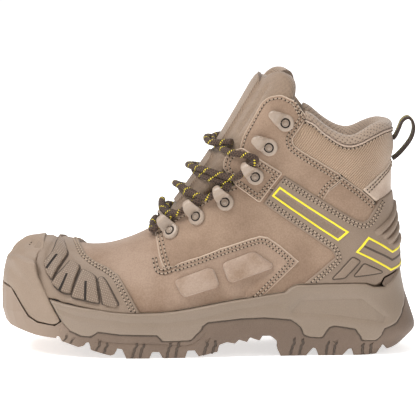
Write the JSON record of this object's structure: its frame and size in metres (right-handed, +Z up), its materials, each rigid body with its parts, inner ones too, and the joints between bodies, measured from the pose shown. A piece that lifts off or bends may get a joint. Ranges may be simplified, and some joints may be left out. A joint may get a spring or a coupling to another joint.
{
  "type": "steel toe work boot",
  "caption": "Laced ankle-high safety boot, left foot, with a steel toe cap under a moulded bumper, padded collar and tongue, heel cage and a lugged sole.",
  "frame": {"origin": "middle of the boot's length and width, on the ground plane under the tread", "axes": "+X from the toe to the heel, +Y towards the inner side of the foot, +Z up from the ground"},
  "size_m": [0.31, 0.108, 0.213],
  "materials": {
    "leather": "matt nubuck",
    "moulded": "matt moulded overlay",
    "midsole": "matt foam skin",
    "rubber": "matt",
    "textile": "ribbed weave",
    "mesh": "knitted mesh",
    "foam": "open foam",
    "board": "fibre board",
    "hardware": "satin moulded",
    "rivet": "satin",
    "steel": "pressed steel",
    "lace": "round braid with a fleck",
    "webbing": "woven webbing"
  },
  "bodies": {
    "boot": {"outsole": "rubber", "midsole": "midsole", "toe_bumper": "moulded", "toe_guard": "moulded", "heel_cage": "moulded", "shank": "steel", "steel_toe_cap": "steel", "puncture_plate": "steel", "vamp": "leather", "heel_panel": "leather", "back_tab": "leather", "quarter_lateral": "leather", "quarter_medial": "leather", "facing_lateral": "leather", "facing_medial": "leather", "ankle_panel_lateral": "leather", "ankle_panel_medial": "leather", "eyelet_tab_lateral": "leather", "eyelet_tab_medial": "leather", "collar_textile": "textile", "tongue_lower": "textile", "foot_lining": "mesh", "collar_lining": "mesh", "footbed": "mesh", "collar_padding": "foam", "toe_cap_edging": "foam", "heel_counter": "board", "insole_board": "board", "lace": "lace", "lace_loop_lateral_1": "hardware", "lace_loop_lateral_2": "hardware", "lace_loop_lateral_3": "hardware", "lace_loop_lateral_4": "hardware", "lace_hook_lateral_5": "hardware", "lace_hook_lateral_6": "hardware", "rivet_lateral_1": "rivet", "rivet_lateral_2": "rivet", "rivet_lateral_3": "rivet", "rivet_lateral_4": "rivet", "rivet_lateral_5": "rivet", "rivet_lateral_6": "rivet", "lace_loop_medial_1": "hardware", "lace_loop_medial_2": "hardware", "lace_loop_medial_3": "hardware", "lace_loop_medial_4": "hardware", "lace_hook_medial_5": "hardware", "lace_hook_medial_6": "hardware", "rivet_medial_1": "rivet", "rivet_medial_2": "rivet", "rivet_medial_3": "rivet", "rivet_medial_4": "rivet", "rivet_medial_5": "rivet", "rivet_medial_6": "rivet"},
    "tongue_top": {"tongue_upper": "textile"},
    "pull_loop": {"pull_loop": "webbing"}
  },
  "joints": [
    {"name": "tongue_top_flex", "type": "hinge", "parent": "boot", "child": "tongue_top", "pos_m": [0.0145, 0, 0.167], "axis": [0, 1, 0], "range_deg": [-28, 3], "stiffness_Nm_per_rad": 0.4},
    {"name": "pull_loop_swing", "type": "hinge", "parent": "boot", "child": "pull_loop", "pos_m": [0.1363, 0, 0.152], "axis": [0, 1, 0], "range_deg": [-15, 20], "stiffness_Nm_per_rad": 0.02}
  ]
}
